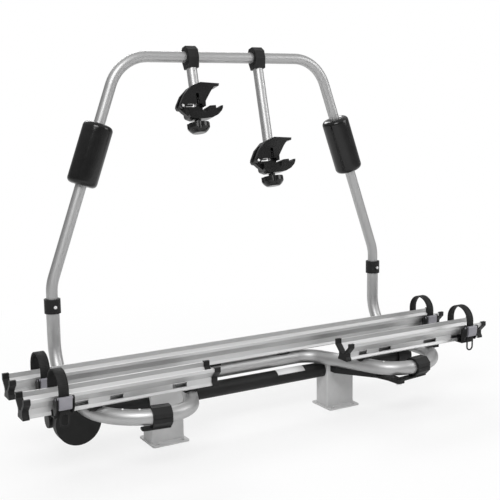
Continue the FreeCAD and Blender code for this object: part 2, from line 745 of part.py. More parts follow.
def loop_clamps():
    """Two-part clamps on the loops' front runs, eight-sided outside."""
    for side, label in ((LEFT, "left_loop_clamp"), (RIGHT, "right_loop_clamp")):
        x, y, turn = clamp_place(side)
        half = d.tube_dia / 2 + d.clamp_wall
        edge = half * 0.45
        shell = extrude(((-half, -edge), (-edge, -half), (edge, -half), (half, -edge),
                         (half, edge), (edge, half), (-edge, half), (-half, edge)),
                        d.clamp_long, "YZ_Plane", -d.clamp_long / 2)
        put(shell, x, y, tube_z, ALONG_Z, turn)
        reach = 2 * d.clamp_long
        split = block(2 * reach, 2 * reach, d.clamp_split, x - reach, y - reach,
                      tube_z - d.clamp_split / 2)
        keep(cut(shell, frame_core(), split), label)


def strip_run(side):
    """Start and length of a strip along its loop clamp's axis, from the clamp's middle."""
    over = d.left_strip_over if side == LEFT else d.right_strip_over
    return -d.clamp_long / 2 - over, d.clamp_long + over


def strips():
    """Flat strips under the loop clamps; the right one carries the catch lever's bolt."""
    for side, label in ((LEFT, "left_strip"), (RIGHT, "right_strip")):
        x, y, turn = clamp_place(side)
        start, long = strip_run(side)
        strip = extrude(((start, -d.strip_wide / 2), (start + long, -d.strip_wide / 2),
                         (start + long, d.strip_wide / 2), (start, d.strip_wide / 2)),
                        d.strip_thick, rounds=(((0, 1, 2, 3), d.strip_round),))
        put(strip, x, y, strip_z, ALONG_Z, turn)
        keep(strip, label)


def catch_lever():
    """Flanged lever under the right strip that reaches to the right post and swings forward."""
    x, y, turn = clamp_place(RIGHT)
    start = strip_run(RIGHT)[0]
    root_x = x + (start + d.lever_bolt_in) * math.cos(math.radians(turn))
    root_y = y + (start + d.lever_bolt_in) * math.sin(math.radians(turn))
    z = strip_z - d.gap_clear - d.lever_plate
    plate_line = ((-10, -10), (11, -10), (20, 12), (22, 60), (-14, 122), (-34, 194), (-78, 194),
                  (-88, 178), (-88, 158), (-79, 146), (-22, 66), (-12, 30))
    plate = extrude([(root_x + u, root_y + v) for u, v in plate_line], d.lever_plate,
                    rounds=(((0, 1, 3, 4, 5, 6, 7, 8, 9), d.strip_round),))
    put(plate, 0, 0, z)
    flange = extrude([(root_x + u, root_y + v) for u, v in plate_line[3:11]],
                     d.lever_flange + 1,
                     rounds=(((0, 1, 2, 3, 4, 5, 6, 7), d.strip_round),))
    put(flange, 0, 0, z + d.lever_plate - 1)
    shank_radius = d.lever_bolt_dia / 2
    hole = cylinder(shank_radius + d.fit_clear, d.lever_plate + 10, root_x, root_y, z - 2)
    keep(cut(fuse(plate, flange), hole), "catch_lever")
    shank = cylinder(shank_radius, strip_z - z + 1, root_x, root_y, z - 1)
    head = cylinder(d.lever_head_dia / 2, d.lever_head, root_x, root_y,
                    z - d.lever_head - d.gap_clear)
    keep(fuse(shank, head), "catch_bolt")


def arm_spot(side):
    return side * d.arm_x, leg_y, d.bow_top


def hang(thing, side, label):
    """Place a piece drawn in an arm's own frame, whose origin is the bow tube's middle."""
    x, y, z = arm_spot(side)
    piece = group(thing)
    put(piece, x, y, z, ALONG_X, -d.arm_lean)
    return keep(piece, label)


def arm(side, name, drop):
    """Liner and clasp on the bow's top, and the arm tube down to its claw."""
    liner_out = d.bow_dia / 2 + d.liner_wall
    start = -d.clasp_wide / 2
    tube = rod_x(liner_out, d.clasp_wide, start, 0, 0)
    flanges = [rod_x(liner_out + 3, 1.5, start + offset, 0, 0)
               for offset in (-1.5, d.clasp_wide)]
    liner = cut(fuse(tube, *flanges),
                rod_x(d.bow_dia / 2 + d.fit_clear, d.clasp_wide + 10, start - 5, 0, 0))
    hang(liner, side, name + "_liner")
    up = d.clasp_up
    down = -d.clasp_down
    half = d.clasp_half
    foot = d.arm_dia / 2 + 0.5
    clasp = extrude(((-foot, down), (foot, down), (half, -6), (half, up - 12), (half - 12, up),
                     (12 - half, up), (-half, up - 12), (-half, -6)),
                    d.clasp_wide, "YZ_Plane", start)
    bore = rod_x(liner_out + d.fit_clear, d.clasp_wide + 10, start - 5, 0, 0)
    spigot = cylinder(d.arm_dia / 2 - d.arm_wall - d.fit_clear, 25, 0, 0, down - 15)
    hang(cut(fuse(clasp, spigot), bore), side, name + "_clasp")
    arm_end = -(drop + 87)
    outer = cylinder(d.arm_dia / 2, down - arm_end, 0, 0, arm_end)
    inner = cylinder(d.arm_dia / 2 - d.arm_wall, down - arm_end, 0, 0, arm_end)
    hang(cut(outer, inner), side, name)


def claw_side(line, drop, thick, rounds=()):
    """A plate of a claw from (across, down) points below the bow's top, centred on the arm."""
    outline = [(sized(across), -(drop + down)) for across, down in line]
    return extrude(outline, thick, "XZ_Plane", -thick / 2, rounds=rounds)


def claw(side, name, drop):
    """Claw that turns on the arm: upper jaw, hinged lower jaw, pin, spindle and knob."""
    thick = d.jaw_thick
    slot = d.jaw_slot
    pin_x = -d.jaw_pin_across
    pin_down = drop + d.jaw_pin_down
    screw_x = -d.spindle_across
    front = -thick / 2 - 1
    through = thick + 2
    upper = claw_side(((-16, 79), (11, 69), (64, 72.5), (62, 79), (48, 81), (37, 93), (19, 118),
                       (18, 131), (10, 131), (8, 125), (-32, 125), (-37.5, 131), (-43, 137),
                       (-50, 136), (-53.5, 129), (-51.5, 122), (-38, 99)), drop, thick,
                      (((0, 1, 4, 5, 13, 16), 4),))
    ceiling = block(76, slot, 62, -60, -slot / 2, -(drop + 152))
    arm_hole = cylinder(d.arm_dia / 2 + d.fit_clear, 40, 0, 0, -(drop + 87))
    pin_hole = rod_y(d.jaw_pin_dia / 2, through, pin_x, front, -pin_down)
    window = block(8, through, 33, -6, front, -(drop + 131))
    hang(cut(upper, ceiling, arm_hole, pin_hole, window), side, name + "_upper_jaw")
    web = claw_side(((-52, 130), (-49, 123.5), (-42, 123.5), (-37, 131), (-4, 131), (-2, 124),
                     (13, 124), (13, 146), (26, 148), (26, 158), (20, 160), (-16, 160),
                     (-32, 154), (-44, 144), (-51, 137)), drop, slot - 2 * d.gap_clear)
    toe = claw_side(((24, 134), (29, 130), (46, 129), (47, 137), (55, 137), (61, 130), (67, 130),
                     (66, 136), (62, 143), (50, 153.5), (33, 160.5), (20, 162), (20, 149)),
                    drop, thick, (((8, 9, 10), 12),))
    seat = claw_side(((-32, 137), (20, 147.5), (22, 149), (22, 161.8), (7.6, 163), (-16, 163),
                      (-32, 157)), drop, thick, (((6,), 8),))
    spindle_hole = cylinder(d.spindle_dia / 2 + d.fit_clear, 80, screw_x, 0, -(drop + 175))
    knuckle_hole = rod_y(d.jaw_pin_dia / 2 + d.fit_clear, through, pin_x, front, -pin_down)
    hang(cut(fuse(web, toe, seat), spindle_hole, knuckle_hole), side, name + "_lower_jaw")
    hang(rod_y(d.jaw_pin_dia / 2, thick, pin_x, -thick / 2, -pin_down), side,
         name + "_jaw_pin")
    hang(cylinder(d.spindle_dia / 2, 68, screw_x, 0, -(drop + 172)), side, name + "_spindle")
    knob(side, name, drop, screw_x)


def knob(side, name, drop, screw_x):
    """Domed knob with five shallow grips under a claw."""
    radius = d.claw_knob_dia / 2
    neck = cylinder(9, 9, screw_x, 0, -(drop + 173))
    skirt = cylinder(radius, 25, screw_x, 0, -(drop + 197))
    ball = doc.addObject("Part::Sphere", "ball")
    ball.Radius = float(radius + d.claw_knob_dome)
    tie(ball, "Radius", radius + d.claw_knob_dome)
    put(ball, screw_x, 0, -(drop + 170))
    dome = doc.addObject("Part::MultiCommon", "dome")
    dome.Shapes = [skirt, ball]
    grips = []
    grip_ring = radius + d.claw_grip_out
    for turn in range(5):
        angle = math.radians(36 + 72 * turn)
        grips.append(cylinder(d.claw_grip_dia / 2, 40, screw_x + grip_ring * math.cos(angle),
                              grip_ring * math.sin(angle), -(drop + 200)))
    hole = cylinder(d.spindle_dia / 2, 10, screw_x, 0, -(drop + 172))
    hang(cut(fuse(neck, dome), hole, *grips), side, name + "_knob")


def shoe_outline():
    """Section of a strap shoe: a cradle under the rail that grips the beam's flange."""
    clear = d.gap_clear
    foot = d.beam_wide / 2 + d.foot_lip + clear
    beam = d.beam_wide / 2 + clear
    grip = d.foot_rise + clear
    edge = d.foot_edge + clear
    wall = d.shoe_wall
    back = d.rail_wide / 2 + 2 * clear
    front = d.shoe_front - wall
    return (
        (-d.shoe_front, -clear - wall), (d.shoe_back, -clear - wall),
        (d.shoe_back, d.shoe_back_up), (back, d.shoe_back_up), (back, -clear),
        (foot + wall, -clear), (foot + wall, grip + wall), (beam, grip + wall), (beam, grip),
        (foot, edge), (foot, -clear), (-foot, -clear), (-foot, edge), (-beam, grip),
        (-beam, grip + wall), (-foot - wall, grip + wall), (-foot - wall, -clear),
        (-front, -clear), (-front, d.shoe_front_up), (-d.shoe_front, d.shoe_front_up),
    )


def strap(name, x, middle_y):
    """Shoe under the rail, strap loop over the wheel, and buckle lever on its pin."""
    wall = d.shoe_wall
    half = d.shoe_long / 2
    cradle = extrude(shoe_outline(), d.shoe_long, "YZ_Plane")
    put(cradle, x - half, middle_y, d.rail_z)
    pin_y = -d.buckle_pin_y
    pin_z = d.buckle_pin_z
    face = 1 - d.shoe_front
    cheeks = []
    for start in (-half, half - wall):
        cheek = extrude(((face, 5), (face - 9, 5), (pin_y - 4, 22), (pin_y - 5, pin_z),
                         (pin_y - 3, pin_z + 4), (pin_y + 4, pin_z + 4), (face, 35)), wall,
                        "YZ_Plane", rounds=(((1, 2, 3, 4, 5), 2),))
        cheeks.append(put(cheek, x + start, middle_y, d.rail_z))
    pin_hole = rod_x(d.buckle_pin_dia / 2 + d.fit_clear, d.shoe_long + 2, x - half - 1,
                     middle_y + pin_y, d.rail_z + pin_z)
    keep(cut(fuse(cradle, *cheeks), pin_hole), name + "_shoe")
    wide = d.strap_wide / 2
    thick = d.strap_thick
    middle = middle_y - d.strap_shift
    crest = d.strap_top - d.strap_arch
    big = rod_x(d.strap_arch, d.strap_wide, x - wide, middle, crest)
    small = rod_x(d.strap_arch - thick, d.strap_wide + 2, x - wide - 1, middle, crest)
    below = block(d.strap_wide + 2, 4 * d.strap_arch, 100, x - wide - 1,
                  middle - 2 * d.strap_arch, crest - 100)
    arch = cut(big, small, below)
    back_low = d.rail_z + d.shoe_back_up / 2
    rear = block(d.strap_wide, thick, crest - back_low, x - wide,
                 middle + d.strap_arch - thick, back_low)
    front = block(d.strap_wide, thick, crest - d.strap_tail, x - wide, middle - d.strap_arch,
                  d.strap_tail)
    tail_slot = block(d.tail_slot_wide, thick + 2, d.tail_slot_long, x - d.tail_slot_wide / 2,
                      middle - d.strap_arch - 1, d.strap_tail + d.tail_slot_up)
    keep(cut(fuse(arch, rear, front), tail_slot), name + "_band")
    lever = extrude(((2.6, -d.buckle_long), (2.6, -3), (3.2, 0), (2, 3), (-5.5, 4), (-7.4, 1),
                     (-7.4, -6), (-6, -18), (-3, -d.buckle_long)), d.buckle_wide,
                    "YZ_Plane", rounds=(((3, 4, 5, 8), 1),))
    put(lever, x - d.buckle_wide / 2, middle_y + pin_y, d.rail_z + pin_z)
    pin = rod_x(d.buckle_pin_dia / 2, d.shoe_long, x - half, middle_y + pin_y,
                d.rail_z + pin_z)
    keep(fuse(lever, pin), name + "_buckle")


bracket(LEFT, "left_bracket")
bracket(RIGHT, "right_bracket")
hinge_bar()
frame_tube()
saddles()
hinge_cover()
rails()
rail_seats()
loop_clamps()
strips()
catch_lever()
collars()
bow()
bow_pads()
for side, name, drop in ((LEFT, "short_arm", sized(0)), (RIGHT, "long_arm", d.long_drop)):
    arm(side, name, drop)
    claw(side, name.replace("arm", "claw"), drop)
strap("back_left_strap", d.back_left_inset - d.back_reach, back_rail_y)
strap("back_right_strap", d.back_reach - d.back_right_inset, back_rail_y)
strap("near_left_strap", d.near_left_inset - d.near_outer, near_rail_y)
strap("near_right_strap", d.near_outer - d.near_right_inset, near_rail_y)

doc.recompute()
faults = []
for thing in doc.Objects:
    if "Invalid" in thing.State or "Error" in thing.State:
        faults.append("%s failed" % thing.Name)
for piece in nodes:
    shape = piece.Shape
    if shape.isNull() or not shape.isValid() or not shape.Solids:
        faults.append("%s has no valid solid" % piece.Label)
if faults:
    raise RuntimeError("; ".join(faults))
os.makedirs("parts", exist_ok=True)
for piece in nodes:
    piece.Shape.exportStep(os.path.join("parts", piece.Label + ".step"))
print("%d nodes, %d solids" % (len(nodes), sum(len(piece.Shape.Solids) for piece in nodes)))
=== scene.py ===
"""Looks of the caravan bike carrier: finishes, straps, pads, small fasteners, camera and light."""
import json
import math

import bmesh
import bpy
from mathutils import Matrix, Vector


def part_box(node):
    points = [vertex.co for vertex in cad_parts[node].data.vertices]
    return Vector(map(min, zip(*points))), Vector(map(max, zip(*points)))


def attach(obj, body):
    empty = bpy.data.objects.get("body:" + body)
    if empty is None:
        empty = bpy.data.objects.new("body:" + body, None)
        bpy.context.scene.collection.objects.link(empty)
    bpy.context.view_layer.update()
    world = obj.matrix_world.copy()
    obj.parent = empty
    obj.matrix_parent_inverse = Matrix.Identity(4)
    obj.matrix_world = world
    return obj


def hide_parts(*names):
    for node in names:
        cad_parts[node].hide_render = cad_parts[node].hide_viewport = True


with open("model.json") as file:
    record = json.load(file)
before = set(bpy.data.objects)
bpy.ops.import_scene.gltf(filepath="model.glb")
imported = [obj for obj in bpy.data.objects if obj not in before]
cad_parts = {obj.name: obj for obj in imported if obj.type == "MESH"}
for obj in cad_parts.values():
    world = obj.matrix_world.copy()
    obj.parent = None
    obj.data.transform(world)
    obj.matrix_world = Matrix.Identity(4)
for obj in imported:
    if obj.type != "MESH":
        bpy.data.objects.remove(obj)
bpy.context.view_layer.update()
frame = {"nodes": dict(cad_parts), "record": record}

MM = 0.001

# Camera, fitted to the photograph's frame of 500 x 500 pixels; metres and radians
CAMERA_PLACE = Vector((-1.1567, -1.9566, 0.8126))
CAMERA_YAW = 0.519
CAMERA_PITCH = 0.153
CAMERA_ROLL = 0.015
CAMERA_LENS = 65.7
CAMERA_SENSOR = 36
CAMERA_SHIFT = (0.0078, -0.0022)

# Lamps: name, place, aim, width and height in metres, power in watts
LAMPS = (
    ("key", (-1.6, -2.2, 2.6), (0, 0, 0.4), (1.6, 1.2), 55),
    ("fill", (2.4, -1.6, 1.8), (0, 0, 0.4), (1.4, 1.4), 22),
    ("back", (0.4, 2.6, 2.4), (0, 0, 0.5), (2.2, 0.8), 35),
)

# Room round the object: level by the height of the direction, 0 at the horizon, 1 overhead
ROOM_LEVELS = ((0.0, 0.55), (0.28, 0.30), (0.6, 0.95), (1.0, 1.0))
ROOM_STRENGTH = 0.7
WHITE = 1.0

# Floor, and how far towards white the camera sees it, by distance from the middle
FLOOR_REACH = 14.0
FLOOR_TONE = 0.86
FLOOR_ROUGH = 0.9
FLOOR_SHINE = 0.1
FLOOR_LIFT = (("From Min", 0.5), ("From Max", 1.7), ("To Min", 0.72), ("To Max", 1.0))

# Noise in the finishes: sizes and detail of its broad patches and its grain, the grain's share
# in tone and roughness, and the span of the noise that is used
METAL_PATCH = 120 * MM
METAL_PATCH_DETAIL = 2.0
METAL_GRAIN = 1.6 * MM
METAL_GRAIN_DETAIL = 4.0
METAL_TONE_SHARE = 0.7
METAL_ROUGH_SHARE = 0.8
PLASTIC_PATCH = 35 * MM
PLASTIC_PATCH_DETAIL = 3.0
PLASTIC_GRAIN_DETAIL = 2.0
PLASTIC_ROUGH_SHARE = 0.4
NOISE_LOW = 0.3
NOISE_HIGH = 0.7
COAT_ROUGH = 0.12
RAIL_STREAK = (0.02, 1, 1)

# Bevels on the solids' sharp edges and on the strap tails
EDGE_WIDE = 0.5 * MM
TAIL_EDGE_WIDE = 0.6 * MM
EDGE_ANGLE = math.radians(35)
EDGE_STEPS = 2

# Meshes: distance within which points are one, and steps round a turned shape
WELD = 0.01 * MM
TURN_STEPS = 64

# Wheel straps: the ribbed loop, with its ribs' pitch, and then its slotted tail
STRAP_RIB = 4.0 * MM
STRAP_RIB_TALL = 0.5 * MM
STRAP_RIB_SHARE = 0.5
STRAP_RIB_STEPS = 4
STRAP_THICK = 3.0 * MM
STRAP_EDGE = 0.6 * MM
STRAP_BACK_UP = 23.3 * MM
TAIL_LONG = 38.0 * MM
TAIL_THICK = 2.5 * MM
TAIL_RIM = 4.0 * MM
TAIL_BELOW_LOOP = 0.8
TAIL_STEPS = 14

# Foam pads on the bow's legs, which lean in from the knee to the shoulder; the mouth is the
# dip in each end, round the tube
PAD_END_ROUND = 12.0 * MM
PAD_TOP_MORE = 8.0 * MM
PAD_BORE = 14.1 * MM
PAD_MOUTH_WIDE = 3.0 * MM
PAD_MOUTH_DEEP = 3.0 * MM
PAD_LIP_DEEP = 1.0 * MM
PAD_ROUND_STEPS = 8
PAD_SIDE_STEPS = 10
KNEE_OUT = 488 * MM
KNEE_UP = 395 * MM
SHOULDER_OUT = 291 * MM
SHOULDER_UP = 943 * MM
LEG_LEAN = math.atan2(KNEE_OUT - SHOULDER_OUT, SHOULDER_UP - KNEE_UP)

# Screw heads on the frame tube; the outline holds shares of (height, radius)
TUBE_RADIUS = 18 * MM
TUBE_MIDDLE_Z = 145.5 * MM
CORNER_MIDDLE = Vector((-348.3 * MM, -42.5 * MM, TUBE_MIDDLE_Z))
CORNER_RADIUS = 140 * MM
CORNER_SCREWS = (math.radians(48.3), math.radians(63.8))
RUN_SCREW = Vector((274.5 * MM, -155.0 * MM, TUBE_MIDDLE_Z))
SCREW_RADIUS = 3 * MM
SCREW_TALL = 2.1 * MM
SCREW_SUNK = 0.4 * MM
SCREW_STEPS = 24
SCREW_OUTLINE = ((0, 0), (0, 1), (0.35, 1), (0.8, 0.8), (1, 0.55), (1, 0.4), (0.4, 0.4),
                 (0.4, 0))

# Bare plate on the hinge bar; angles from the front, upward
PLATE_LEFT = 66 * MM
PLATE_RIGHT = 150 * MM
PLATE_LOW = math.radians(32)
PLATE_HIGH = math.radians(100)
PLATE_THICK = 0.4 * MM
PLATE_STEPS = 16


def add_camera():
    """Camera that looks from the left front, a little down."""
    ahead = Vector((math.sin(CAMERA_YAW) * math.cos(CAMERA_PITCH),
                    math.cos(CAMERA_YAW) * math.cos(CAMERA_PITCH), -math.sin(CAMERA_PITCH)))
    level = Vector((math.cos(CAMERA_YAW), -math.sin(CAMERA_YAW), 0))
    down = ahead.cross(level)
    right = level * math.cos(CAMERA_ROLL) + down * math.sin(CAMERA_ROLL)
    below = down * math.cos(CAMERA_ROLL) - level * math.sin(CAMERA_ROLL)
    turn = Matrix((right, -below, -ahead)).transposed()
    data = bpy.data.cameras.new("camera")
    data.lens = CAMERA_LENS
    data.sensor_width = CAMERA_SENSOR
    data.shift_x, data.shift_y = CAMERA_SHIFT
    camera = bpy.data.objects.new("camera", data)
    camera.matrix_world = Matrix.Translation(CAMERA_PLACE) @ turn.to_4x4()
    bpy.context.collection.objects.link(camera)
    bpy.context.scene.camera = camera


def colour(value):
    """Opaque colour from a grey level or from three numbers."""
    if isinstance(value, (int, float)):
        return (value, value, value, 1)
    return (*value, 1)


class Nodes:
    """Short hand for building a node tree."""

    def __init__(self, tree):
        self.tree = tree

    def add(self, kind, **settings):
        node = self.tree.nodes.new(kind)
        for key, value in settings.items():
            setattr(node, key, value)
        return node

    def join(self, output, target):
        self.tree.links.new(output, target)

    def ramp(self, value, stops):
        """Turn a 0 to 1 value into numbers or colours; stops are (value, result)."""
        node = self.add("ShaderNodeValToRGB")
        elements = node.color_ramp.elements
        for place, _ in stops[1:-1]:
            elements.new(place)
        for element, (place, result) in zip(elements, stops):
            element.position = place
            element.color = colour(result)
        self.join(value, node.inputs["Fac"])
        return node.outputs["Color"]

    def mix_shaders(self, share, first, second):
        node = self.add("ShaderNodeMixShader")
        self.join(share, node.inputs["Fac"])
        self.join(first, node.inputs[1])
        self.join(second, node.inputs[2])
        return node.outputs["Shader"]


class Finish(Nodes):
    """Short hand for building one material round its main shader."""

    def __init__(self, name):
        self.material = bpy.data.materials.new(name)
        self.material.use_nodes = True
        super().__init__(self.material.node_tree)
        self.shader = self.tree.nodes["Principled BSDF"]
        self.place = self.add("ShaderNodeTexCoord").outputs["Object"]

    def set(self, name, value):
        self.shader.inputs[name].default_value = value

    def noise(self, size, detail, streak=None):
        """Noise with features of about that size in metres; streak scales it by axis."""
        node = self.add("ShaderNodeTexNoise")
        node.inputs["Scale"].default_value = 1.0 / size
        node.inputs["Detail"].default_value = detail
        place = self.place
        if streak:
            stretch = self.add("ShaderNodeMapping")
            stretch.inputs["Scale"].default_value = streak
            self.join(place, stretch.inputs["Vector"])
            place = stretch.outputs["Vector"]
        self.join(place, node.inputs["Vector"])
        return node.outputs["Fac"]

    def blend(self, first, second, share):
        node = self.add("ShaderNodeMixRGB")
        node.inputs["Fac"].default_value = share
        self.join(first, node.inputs["Color1"])
        self.join(second, node.inputs["Color2"])
        return node.outputs["Color"]

    def spread(self, value, span, name):
        """Vary the shader's input between the two ends of span."""
        stops = ((NOISE_LOW, span[0]), (NOISE_HIGH, span[1]))
        self.join(self.ramp(value, stops), self.shader.inputs[name])

    def bump(self, height, depth):
        node = self.add("ShaderNodeBump")
        node.inputs["Distance"].default_value = depth
        self.join(height, node.inputs["Height"])
        self.join(node.outputs["Normal"], self.shader.inputs["Normal"])


def finish_metal(name, tone, rough, depth=0.004 * MM, streak=None):
    """Anodised or plated metal; tone and rough are the spans that the noise covers."""
    kit = Finish(name)
    broad = kit.noise(METAL_PATCH, METAL_PATCH_DETAIL)
    fine = kit.noise(METAL_GRAIN, METAL_GRAIN_DETAIL, streak)
    kit.spread(kit.blend(broad, fine, METAL_TONE_SHARE), tone, "Base Color")
    kit.spread(kit.blend(broad, fine, METAL_ROUGH_SHARE), rough, "Roughness")
    kit.set("Metallic", 1.0)
    kit.bump(fine, depth)
    return kit.material


def finish_plastic(name, tone, rough, grain, depth, coat=0.0, shine=0.5):
    """Moulded plastic, rubber or paint with a fine grain and slight wear."""
    kit = Finish(name)
    broad = kit.noise(PLASTIC_PATCH, PLASTIC_PATCH_DETAIL)
    fine = kit.noise(grain, PLASTIC_GRAIN_DETAIL)
    kit.spread(broad, tone, "Base Color")
    kit.spread(kit.blend(broad, fine, PLASTIC_ROUGH_SHARE), rough, "Roughness")
    kit.set("Specular IOR Level", shine)
    kit.set("Coat Weight", coat)
    kit.set("Coat Roughness", COAT_ROUGH)
    kit.bump(fine, depth)
    return kit.material


def make_materials():
    """A finish for each material slot of the record, one for spindles, one for the plate.

    The spindles' finish is pale and dull, with painted light: its paleness shows them lit, though
    they stand in the dark of the jaws.
    """
    return {
        "tube_aluminium": finish_metal("satin_tube", (0.48, 0.50), (0.46, 0.50), 0.001 * MM),
        "rail_aluminium": finish_metal("drawn_rail", (0.65, 0.68), (0.52, 0.56),
                                       streak=RAIL_STREAK),
        "zinc_steel": finish_metal("zinc_plate", (0.82, 0.88), (0.3, 0.4)),
        # Painted light: a pale copy of the zinc plate, so the spindles look lit in the dark of the
        # jaws
        "spindle": finish_plastic("bright_spindle", (0.84, 0.88), (0.3, 0.4), 2.0 * MM,
                                  0.01 * MM),
        "bracket_steel": finish_plastic("grey_paint", (0.52, 0.58), (0.42, 0.52), 1.2 * MM,
                                        0.04 * MM),
        "plate_white": finish_plastic("plate_white", (0.74, 0.78), (0.4, 0.5), 1.2 * MM,
                                      0.02 * MM),
        "hinge_black": finish_plastic("black_coat", (0.006, 0.010), (0.42, 0.54), 1.4 * MM,
                                      0.03 * MM, shine=0.3),
        "black_plastic": finish_plastic("moulded_black", (0.006, 0.011), (0.45, 0.58),
                                        0.8 * MM, 0.04 * MM, shine=0.3),
        "gloss_black": finish_plastic("gloss_black", (0.004, 0.008), (0.14, 0.20), 4.0 * MM,
                                      0.01 * MM, shine=0.4),
        "strap_rubber": finish_plastic("strap_rubber", (0.006, 0.011), (0.5, 0.66), 1.0 * MM,
                                       0.04 * MM, shine=0.3),
        "buckle_grey": finish_plastic("buckle_grey",
                                      ((0.21, 0.205, 0.23), (0.27, 0.265, 0.29)),
                                      (0.34, 0.46), 1.0 * MM, 0.03 * MM, coat=0.1),
    }


def dress_frame(materials):
    """Give each CAD node its finish, fine bevels and smooth curved faces."""
    slots = {part["node"]: part["material_slot"] for part in frame["record"]["subparts"]}
    for node, thing in frame["nodes"].items():
        # Spindle nodes take the pale finish with painted light instead of their slot's zinc finish
        finish = materials["spindle" if node.endswith("_spindle") else slots[node]]
        if not thing.material_slots:
            thing.data.materials.append(finish)
        for place in thing.material_slots:
            place.material = finish
        soften(thing, EDGE_WIDE)


def soften(thing, width):
    """Small bevel on sharp edges, smooth shading elsewhere."""
    edge = thing.modifiers.new("edge", "BEVEL")
    edge.width = width
    edge.segments = EDGE_STEPS
    edge.limit_method = "ANGLE"
    edge.angle_limit = EDGE_ANGLE
    edge.harden_normals = True
    edge.use_clamp_overlap = True
    for face in thing.data.polygons:
        face.use_smooth = True


def add_lamp(name, place, aim, size, power):
    data = bpy.data.lights.new(name, "AREA")
    data.shape = "RECTANGLE"
    data.size, data.size_y = size
    data.energy = power
    lamp = bpy.data.objects.new(name, data)
    lamp.location = place
    lamp.rotation_euler = (Vector(aim) - Vector(place)).to_track_quat("-Z", "Y").to_euler()
    bpy.context.collection.objects.link(lamp)


def add_world():
    """White to the camera; to the object a soft room, bright overhead and dim lower down."""
    world = bpy.data.worlds.new("studio")
    bpy.context.scene.world = world
    world.use_nodes = True
    kit = Nodes(world.node_tree)
    kit.tree.nodes.clear()
    split = kit.add("ShaderNodeSeparateXYZ")
    kit.join(kit.add("ShaderNodeTexCoord").outputs["Generated"], split.inputs["Vector"])
    room = kit.add("ShaderNodeBackground")
    room.inputs["Strength"].default_value = ROOM_STRENGTH
    kit.join(kit.ramp(split.outputs["Z"], ROOM_LEVELS), room.inputs["Color"])
    white = kit.add("ShaderNodeBackground")
    white.inputs["Color"].default_value = colour(WHITE)
    rays = kit.add("ShaderNodeLightPath")
    seen = kit.mix_shaders(rays.outputs["Is Camera Ray"], room.outputs["Background"],
                           white.outputs["Background"])
    kit.join(seen, kit.add("ShaderNodeOutputWorld").inputs["Surface"])


def add_floor():
    """Large pale floor under the foot plates, lifted towards white for the camera."""
    mesh = bpy.data.meshes.new("floor")
    corners = [(x * FLOOR_REACH, y * FLOOR_REACH, 0)
               for x, y in ((-1, -1), (1, -1), (1, 1), (-1, 1))]
    mesh.from_pydata(corners, [], [(0, 1, 2, 3)])
    floor = bpy.data.objects.new("floor", mesh)
    bpy.context.collection.objects.link(floor)
    kit = Finish("floor_white")
    kit.set("Base Color", colour(FLOOR_TONE))
    kit.set("Roughness", FLOOR_ROUGH)
    kit.set("Specular IOR Level", FLOOR_SHINE)
    distance = kit.add("ShaderNodeVectorMath", operation="LENGTH")
    kit.join(kit.place, distance.inputs[0])
    lift = kit.add("ShaderNodeMapRange")
    for name, value in FLOOR_LIFT:
        lift.inputs[name].default_value = value
    kit.join(distance.outputs["Value"], lift.inputs["Value"])
    rays = kit.add("ShaderNodeLightPath")
    share = kit.add("ShaderNodeMath", operation="MULTIPLY")
    kit.join(rays.outputs["Is Camera Ray"], share.inputs[0])
    kit.join(lift.outputs["Result"], share.inputs[1])
    glow = kit.add("ShaderNodeEmission")
    glow.inputs["Color"].default_value = colour(WHITE)
    seen = kit.mix_shaders(share.outputs["Value"], kit.shader.outputs["BSDF"],
                           glow.outputs["Emission"])
    kit.join(seen, kit.tree.nodes["Material Output"].inputs["Surface"])
    mesh.materials.append(kit.material)


def add_object(name, mesh, material, body):
    """Piece of the scene that rides on a body and wears the given material."""
    piece = bpy.data.objects.new(name, mesh)
    bpy.context.collection.objects.link(piece)
    mesh.materials.append(material)
    for face in mesh.polygons:
        face.use_smooth = True
    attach(piece, body)
    return piece


def box_corners(node):
    return [Vector(corner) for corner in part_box(node)]


def band_faces(first, second, count):
    """Faces between two closed rings of count points, given by the rings' numbers."""
    faces = []
    for step in range(count):
        ahead = (step + 1) % count
        faces.append((first * count + step, first * count + ahead,
                      second * count + ahead, second * count + step))
    return faces


def clean_mesh(name, verts, faces):
    """Mesh with its doubles welded and all faces turned outward."""
    mesh = bpy.data.meshes.new(name)
    mesh.from_pydata(verts, [], faces)
    form = bmesh.new()
    form.from_mesh(mesh)
    bmesh.ops.remove_doubles(form, verts=form.verts, dist=WELD)
    bmesh.ops.recalc_face_normals(form, faces=form.faces)
    form.to_mesh(mesh)
    form.free()
    return mesh


def turned_mesh(name, outline, base, axis, steps=TURN_STEPS):
    """Outline turned about an axis and closed in a ring: (distance along it, radius)."""
    axis = axis.normalized()
    side = axis.orthogonal().normalized()
    other = axis.cross(side)
    verts = []
    for along, radius in outline:
        for step in range(steps):
            angle = 2 * math.pi * step / steps
            out = side * math.cos(angle) + other * math.sin(angle)
            verts.append(base + axis * along + out * radius)
    faces = []
    for ring in range(len(outline)):
        faces += band_faces(ring, (ring + 1) % len(outline), steps)
    return clean_mesh(name, verts, faces)


def loft_mesh(name, rings):
    """Skin through rings of equally many points, closed at both ends."""
    count = len(rings[0])
    verts = [point for ring in rings for point in ring]
    faces = []
    for row in range(len(rings) - 1):
        faces += band_faces(row, row + 1, count)
    last = len(verts) - count
    faces.append(tuple(range(count))[::-1])
    faces.append(tuple(range(last, last + count)))
    return clean_mesh(name, verts, faces)


def slotted_plate(name, outer, inner, thick, foot):
    """Plate that faces y, with one hole; the outlines hold equally many (x, z) from foot."""
    verts = [foot + Vector((x, depth, z))
             for depth in (-thick / 2, thick / 2) for ring in (outer, inner) for x, z in ring]
    faces = []
    for first, second in ((0, 1), (1, 3), (3, 2), (2, 0)):
        faces += band_faces(first, second, len(outer))
    return clean_mesh(name, verts, faces)


